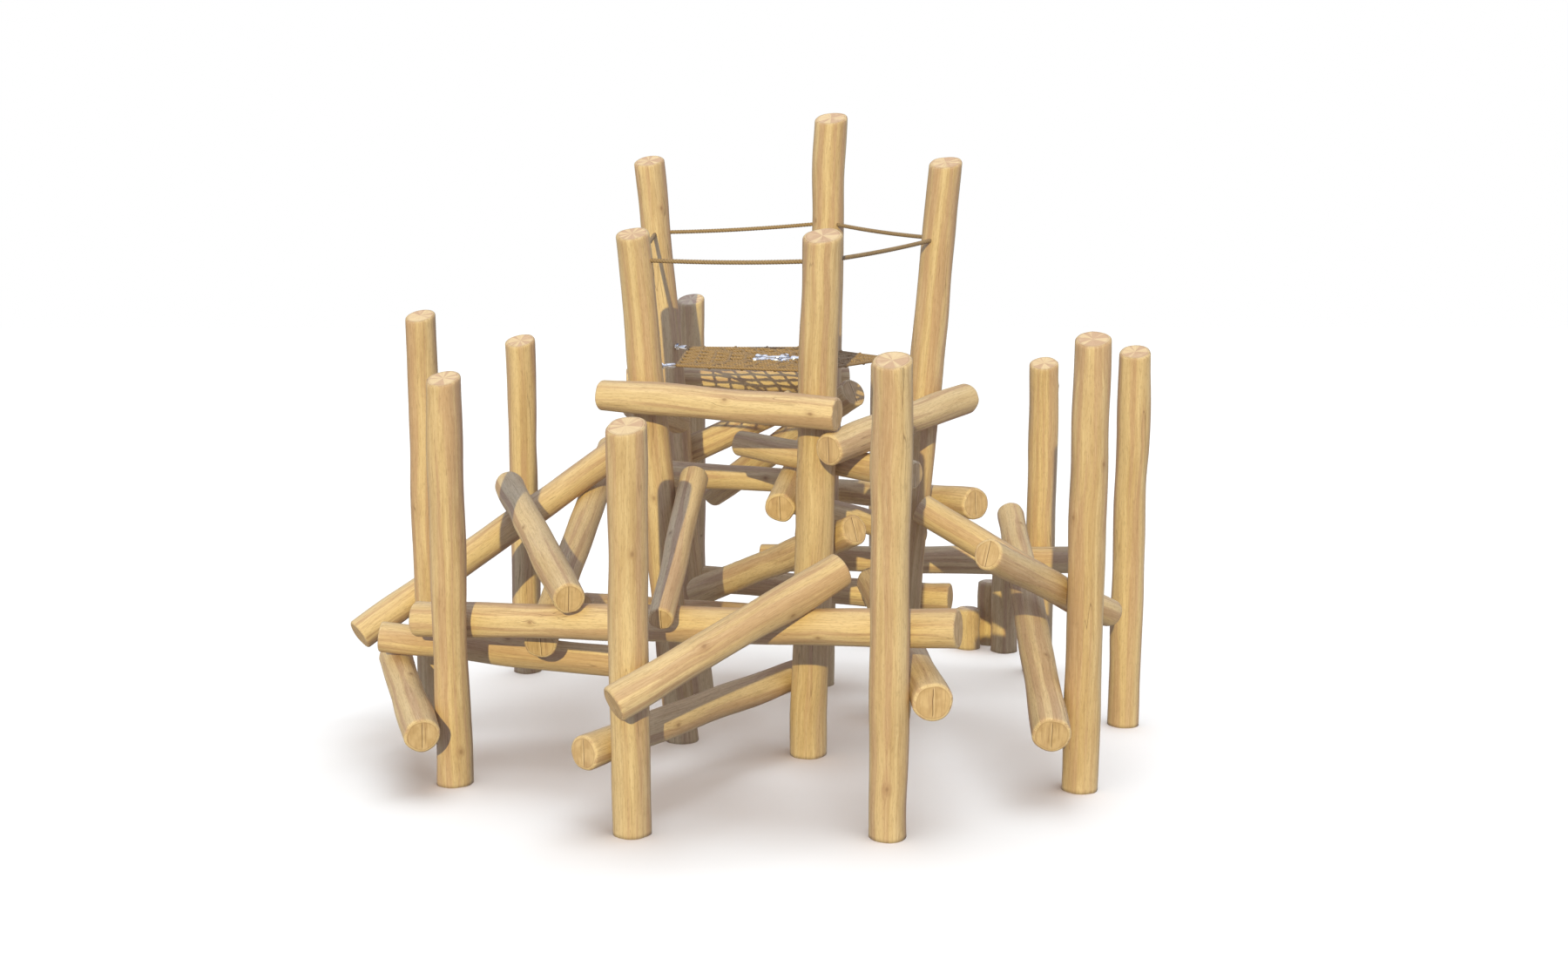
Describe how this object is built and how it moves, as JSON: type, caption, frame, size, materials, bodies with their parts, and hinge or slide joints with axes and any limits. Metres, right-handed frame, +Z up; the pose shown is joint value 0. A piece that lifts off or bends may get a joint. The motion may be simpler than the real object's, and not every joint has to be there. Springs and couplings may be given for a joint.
{
  "type": "climbing structure",
  "caption": "Log climbing structure: slanting logs between upright posts around a tower of leaning posts with a rope net and rope handrail.",
  "frame": {"origin": "on the ground, under the middle of the structure's outline", "axes": "+Z up; +Y from the front, where the low front rail log is, towards the back; +X to the right seen from the front"},
  "size_m": [4.8004, 4.3246, 3.7322],
  "materials": {
    "post_wood": "debarked robinia, brushed, light golden brown",
    "log_wood": "debarked robinia, brushed, light golden brown",
    "rope": "twisted hemp-coloured rope",
    "net_rope": "twisted hemp-coloured rope, knotted into a web",
    "steel": "bright stainless steel"
  },
  "bodies": {
    "root": {"back_left_brace_log": "log_wood", "back_prop_log": "log_wood", "back_rail_log": "log_wood", "front_climbing_log": "log_wood", "front_lean_log": "log_wood", "front_low_log": "log_wood", "front_rail_log": "log_wood", "handrail_rope_1": "rope", "handrail_rope_2": "rope", "handrail_rope_3": "rope", "handrail_rope_4": "rope", "handrail_rope_5": "rope", "inner_back_low_log": "log_wood", "inner_cross_log": "log_wood", "inner_falling_log": "log_wood", "inner_high_log": "log_wood", "inner_low_log": "log_wood", "inner_rising_log": "log_wood", "inner_short_log": "log_wood", "left_back_prop_log": "log_wood", "left_foot_log": "log_wood", "left_front_prop_log": "log_wood", "left_low_rail_log": "log_wood", "left_rising_log": "log_wood", "net_connector_1": "steel", "net_connector_2": "steel", "net_connector_3": "steel", "net_connector_4": "steel", "net_connector_5": "steel", "net_hub_ring": "steel", "outer_post_1": "post_wood", "outer_post_10": "post_wood", "outer_post_2": "post_wood", "outer_post_3": "post_wood", "outer_post_4": "post_wood", "outer_post_5": "post_wood", "outer_post_6": "post_wood", "outer_post_7": "post_wood", "outer_post_8": "post_wood", "outer_post_9": "post_wood", "right_descending_log": "log_wood", "right_foot_log": "log_wood", "right_front_log": "log_wood", "right_long_prop_log": "log_wood", "right_stub_log": "log_wood", "right_through_log": "log_wood", "rope_net": "net_rope", "step_stump_high": "post_wood", "step_stump_low": "post_wood", "step_stump_middle": "post_wood", "tower_back_log": "log_wood", "tower_front_log": "log_wood", "tower_left_log": "log_wood", "tower_post_1": "post_wood", "tower_post_2": "post_wood", "tower_post_3": "post_wood", "tower_post_4": "post_wood", "tower_post_5": "post_wood", "tower_right_log": "log_wood"}
  },
  "joints": []
}
